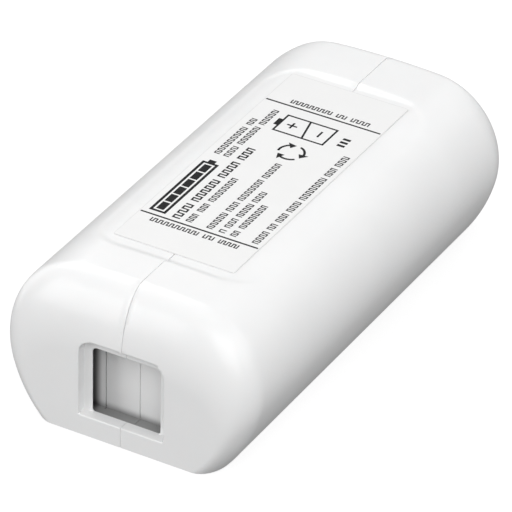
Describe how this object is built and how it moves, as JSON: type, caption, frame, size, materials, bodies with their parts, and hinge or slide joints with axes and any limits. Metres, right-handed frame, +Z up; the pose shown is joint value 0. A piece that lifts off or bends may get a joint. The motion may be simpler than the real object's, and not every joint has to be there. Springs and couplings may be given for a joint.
{
  "type": "battery pack",
  "caption": "White rounded battery pack for a wall luminaire: two moulded case halves, a printed label film on top, and a square window in one end where a plug goes in.",
  "frame": {"origin": "middle of the underside, on the surface that the pack stands on", "axes": "+Z up through the label, -Y out through the window in the front end, +X to the right seen from the front"},
  "size_m": [0.0394, 0.078, 0.0242],
  "materials": {
    "case_white": "moulded, satin to gloss",
    "label_film": "printed film, satin",
    "cell_steel": "nickel-plated, drawn",
    "cell_sleeve": "shrunk film",
    "black_nylon": "moulded, matt",
    "insulating_card": "pressed fibre",
    "nickel_strip": "rolled, spot-welded",
    "foam": "open-cell foam",
    "board_laminate": "green solder mask with tracks and pads",
    "chip_epoxy": "moulded epoxy",
    "fuse_polymer": "moulded",
    "capacitor_ceramic": "fired, satin",
    "contact_copper": "copper alloy spring strip",
    "lead_red": "silicone insulation",
    "lead_black": "silicone insulation"
  },
  "bodies": {
    "root": {"case_half_left": "case_white", "case_half_right": "case_white", "label_film": "label_film", "cell_can": "cell_steel", "cell_cap": "cell_steel", "cell_sleeve": "cell_sleeve", "cell_gasket": "black_nylon", "cell_washer": "insulating_card", "tab_positive": "nickel_strip", "tab_negative": "nickel_strip", "end_pad": "foam", "cell_pad_1": "foam", "cell_pad_2": "foam", "bay_insulator": "insulating_card", "board_shield": "insulating_card", "protection_board": "board_laminate", "protection_chip": "chip_epoxy", "switch_transistor_1": "chip_epoxy", "switch_transistor_2": "chip_epoxy", "sense_resistor": "chip_epoxy", "resistor_1": "chip_epoxy", "resistor_2": "chip_epoxy", "thermistor": "chip_epoxy", "resettable_fuse": "fuse_polymer", "capacitor_1": "capacitor_ceramic", "capacitor_2": "capacitor_ceramic", "contact_carrier": "black_nylon", "contact_positive": "contact_copper", "contact_negative": "contact_copper", "lead_positive": "lead_red", "lead_negative": "lead_black"}
  },
  "joints": []
}
